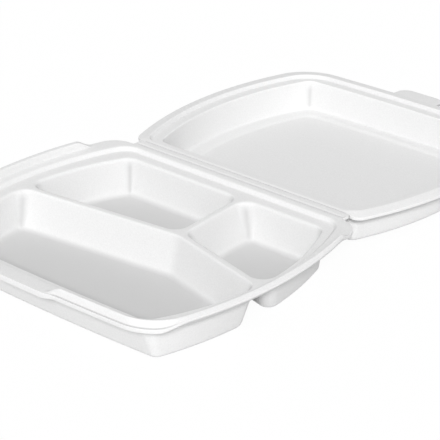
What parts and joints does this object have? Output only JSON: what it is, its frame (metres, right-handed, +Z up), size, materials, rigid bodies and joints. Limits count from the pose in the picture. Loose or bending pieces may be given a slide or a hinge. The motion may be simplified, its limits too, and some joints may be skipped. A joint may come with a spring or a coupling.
{
  "type": "foam clamshell container",
  "caption": "Hinged foam meal box with bowed sides: a tray parted into pockets by a chevron divider, and a shallow lid opened flat behind it.",
  "frame": {"origin": "middle of the opened box's footprint, on the table", "axes": "+Z up, +X along the hinge to the right of a person facing the tray's front tab, +Y from the tray towards the lid"},
  "size_m": [0.2416, 0.4098, 0.0364],
  "materials": {
    "foam": "satin white foam"
  },
  "bodies": {
    "tray": {"base_tray": "foam"},
    "lid": {"lid": "foam"}
  },
  "joints": [
    {"name": "lid_hinge", "type": "hinge", "parent": "tray", "child": "lid", "pos_m": [0, -0.00256, 0.0317], "axis": [1, 0, 0], "range_deg": [0, 181]}
  ]
}
